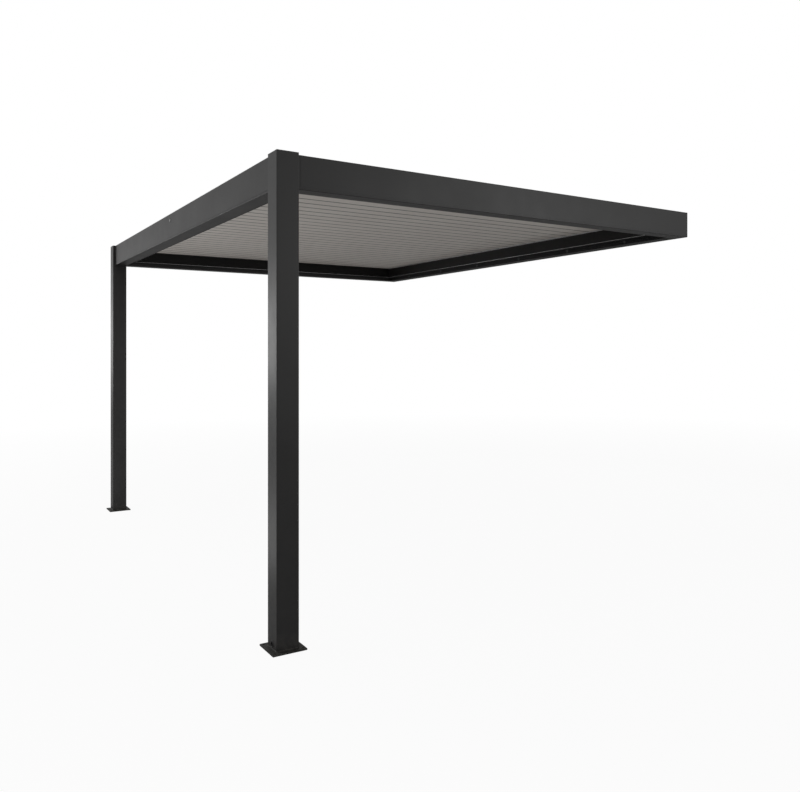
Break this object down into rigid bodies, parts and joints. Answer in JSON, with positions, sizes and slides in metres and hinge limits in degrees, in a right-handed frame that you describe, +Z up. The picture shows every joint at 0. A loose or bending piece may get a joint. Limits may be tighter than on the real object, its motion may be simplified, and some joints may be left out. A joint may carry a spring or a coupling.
{
  "type": "wall-mounted louvred pergola",
  "caption": "Lean-to pergola on square posts with a flat roof of motor-turned louvres, fastened to a wall along its back.",
  "frame": {"origin": "centre of the wall beam's flat back face", "axes": "+X along the wall, +Y into the wall, +Z up"},
  "size_m": [4.06, 3.03, 2.4],
  "materials": {
    "frame_coat": "satin",
    "louvre_coat": "satin",
    "bare_aluminium": "satin",
    "motor_housing": "matte",
    "window_plastic": "gloss"
  },
  "bodies": {
    "frame": {"post_right": "frame_coat", "post_left": "frame_coat", "post_cap_right": "frame_coat", "post_cap_left": "frame_coat", "base_plate_right": "frame_coat", "base_plate_left": "frame_coat", "front_beam": "frame_coat", "side_beam_right": "frame_coat", "side_beam_left": "frame_coat", "wall_beam": "frame_coat", "beam_end_plate_right": "frame_coat", "beam_end_plate_left": "frame_coat", "front_gutter": "frame_coat", "wall_gutter": "frame_coat", "side_gutter_right": "frame_coat", "side_gutter_left": "frame_coat", "front_pivot_rail": "bare_aluminium", "wall_pivot_rail": "bare_aluminium", "edge_flashing": "frame_coat", "gear_motor": "motor_housing", "motor_bracket": "bare_aluminium", "receiver_window": "window_plastic"},
    "tie_bar": {"tie_bar": "bare_aluminium"},
    "louvre_01": {"louvre_01": "louvre_coat"},
    "louvre_02": {"louvre_02": "louvre_coat"},
    "louvre_03": {"louvre_03": "louvre_coat"},
    "louvre_04": {"louvre_04": "louvre_coat"},
    "louvre_05": {"louvre_05": "louvre_coat"},
    "louvre_06": {"louvre_06": "louvre_coat"},
    "louvre_07": {"louvre_07": "louvre_coat"},
    "louvre_08": {"louvre_08": "louvre_coat"},
    "louvre_09": {"louvre_09": "louvre_coat"},
    "louvre_10": {"louvre_10": "louvre_coat"},
    "louvre_11": {"louvre_11": "louvre_coat"},
    "louvre_12": {"louvre_12": "louvre_coat"},
    "louvre_13": {"louvre_13": "louvre_coat"},
    "louvre_14": {"louvre_14": "louvre_coat"},
    "louvre_15": {"louvre_15": "louvre_coat"}
  },
  "joints": [
    {"name": "turn_01", "type": "hinge", "parent": "frame", "child": "louvre_01", "pos_m": [-1.6954, -1.5, 0.0565], "axis": [0, -1, 0], "range_deg": [0, 90]},
    {"name": "turn_02", "type": "hinge", "parent": "frame", "child": "louvre_02", "pos_m": [-1.4532, -1.5, 0.0565], "axis": [0, -1, 0], "range_deg": [0, 90]},
    {"name": "turn_03", "type": "hinge", "parent": "frame", "child": "louvre_03", "pos_m": [-1.211, -1.5, 0.0565], "axis": [0, -1, 0], "range_deg": [0, 90]},
    {"name": "turn_04", "type": "hinge", "parent": "frame", "child": "louvre_04", "pos_m": [-0.9688, -1.5, 0.0565], "axis": [0, -1, 0], "range_deg": [0, 90]},
    {"name": "turn_05", "type": "hinge", "parent": "frame", "child": "louvre_05", "pos_m": [-0.7266, -1.5, 0.0565], "axis": [0, -1, 0], "range_deg": [0, 90]},
    {"name": "turn_06", "type": "hinge", "parent": "frame", "child": "louvre_06", "pos_m": [-0.4844, -1.5, 0.0565], "axis": [0, -1, 0], "range_deg": [0, 90]},
    {"name": "turn_07", "type": "hinge", "parent": "frame", "child": "louvre_07", "pos_m": [-0.2422, -1.5, 0.0565], "axis": [0, -1, 0], "range_deg": [0, 90]},
    {"name": "turn_08", "type": "hinge", "parent": "frame", "child": "louvre_08", "pos_m": [0, -1.5, 0.0565], "axis": [0, -1, 0], "range_deg": [0, 90]},
    {"name": "turn_09", "type": "hinge", "parent": "frame", "child": "louvre_09", "pos_m": [0.2422, -1.5, 0.0565], "axis": [0, -1, 0], "range_deg": [0, 90]},
    {"name": "turn_10", "type": "hinge", "parent": "frame", "child": "louvre_10", "pos_m": [0.4844, -1.5, 0.0565], "axis": [0, -1, 0], "range_deg": [0, 90]},
    {"name": "turn_11", "type": "hinge", "parent": "frame", "child": "louvre_11", "pos_m": [0.7266, -1.5, 0.0565], "axis": [0, -1, 0], "range_deg": [0, 90]},
    {"name": "turn_12", "type": "hinge", "parent": "frame", "child": "louvre_12", "pos_m": [0.9688, -1.5, 0.0565], "axis": [0, -1, 0], "range_deg": [0, 90]},
    {"name": "turn_13", "type": "hinge", "parent": "frame", "child": "louvre_13", "pos_m": [1.211, -1.5, 0.0565], "axis": [0, -1, 0], "range_deg": [0, 90]},
    {"name": "turn_14", "type": "hinge", "parent": "frame", "child": "louvre_14", "pos_m": [1.4532, -1.5, 0.0565], "axis": [0, -1, 0], "range_deg": [0, 90]},
    {"name": "turn_15", "type": "hinge", "parent": "frame", "child": "louvre_15", "pos_m": [1.6954, -1.5, 0.0565], "axis": [0, -1, 0], "range_deg": [0, 90]},
    {"name": "bar_swing", "type": "hinge", "parent": "louvre_08", "child": "tie_bar", "pos_m": [0, -0.1365, 0.0145], "axis": [0, -1, 0], "range_deg": [-90, 0]}
  ],
  "couplings": [
    {"joint": "turn_01", "follows": "turn_08", "ratio": 1},
    {"joint": "turn_02", "follows": "turn_08", "ratio": 1},
    {"joint": "turn_03", "follows": "turn_08", "ratio": 1},
    {"joint": "turn_04", "follows": "turn_08", "ratio": 1},
    {"joint": "turn_05", "follows": "turn_08", "ratio": 1},
    {"joint": "turn_06", "follows": "turn_08", "ratio": 1},
    {"joint": "turn_07", "follows": "turn_08", "ratio": 1},
    {"joint": "turn_09", "follows": "turn_08", "ratio": 1},
    {"joint": "turn_10", "follows": "turn_08", "ratio": 1},
    {"joint": "turn_11", "follows": "turn_08", "ratio": 1},
    {"joint": "turn_12", "follows": "turn_08", "ratio": 1},
    {"joint": "turn_13", "follows": "turn_08", "ratio": 1},
    {"joint": "turn_14", "follows": "turn_08", "ratio": 1},
    {"joint": "turn_15", "follows": "turn_08", "ratio": 1},
    {"joint": "bar_swing", "follows": "turn_08", "ratio": -1}
  ]
}
